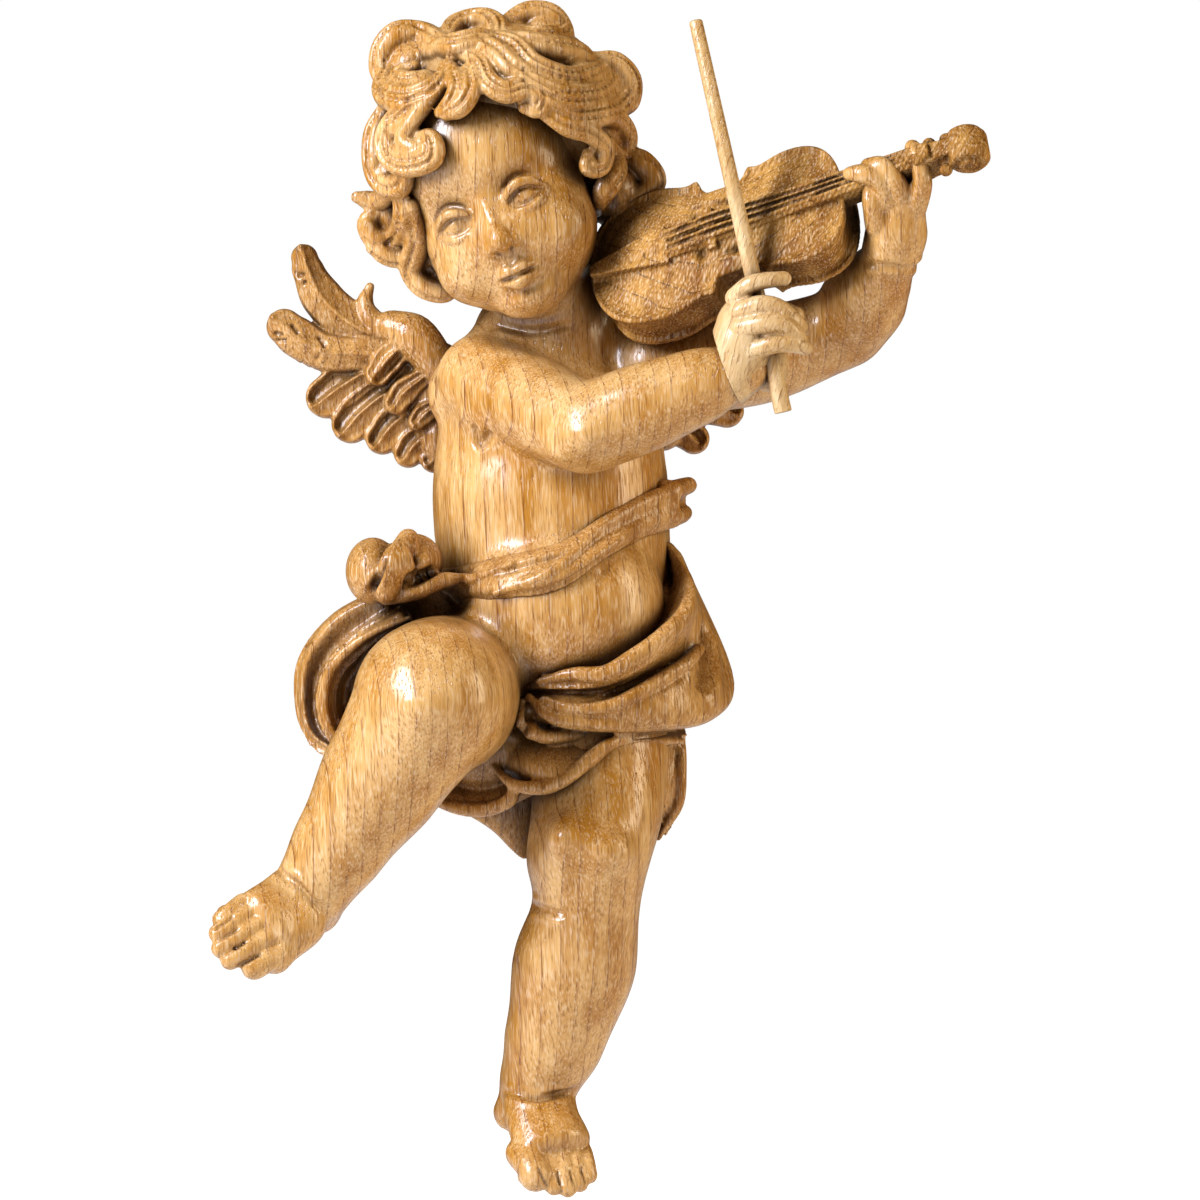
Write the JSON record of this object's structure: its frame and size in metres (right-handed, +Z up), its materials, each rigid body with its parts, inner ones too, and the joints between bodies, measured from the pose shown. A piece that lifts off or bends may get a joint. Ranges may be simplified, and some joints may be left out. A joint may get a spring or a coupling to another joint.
{
  "type": "carved angel figure",
  "caption": "Wall-hung carved oak cherub with small wings and a draped cloth, playing a violin with a straight bow.",
  "frame": {"origin": "on the flat at the figure's back, between the shoulder blades, where it rests on the wall", "axes": "+Z up, +Y into the wall, so the figure looks along -Y with its own right side at -X"},
  "size_m": [0.1958, 0.0949, 0.2949],
  "materials": {
    "oak_figure": "satin varnish",
    "oak_pale": "satin varnish",
    "oak_violin": "tooled, thin varnish"
  },
  "bodies": {
    "root": {"figure": "oak_figure", "right_hand": "oak_pale", "bow": "oak_pale", "violin": "oak_violin"}
  },
  "joints": []
}
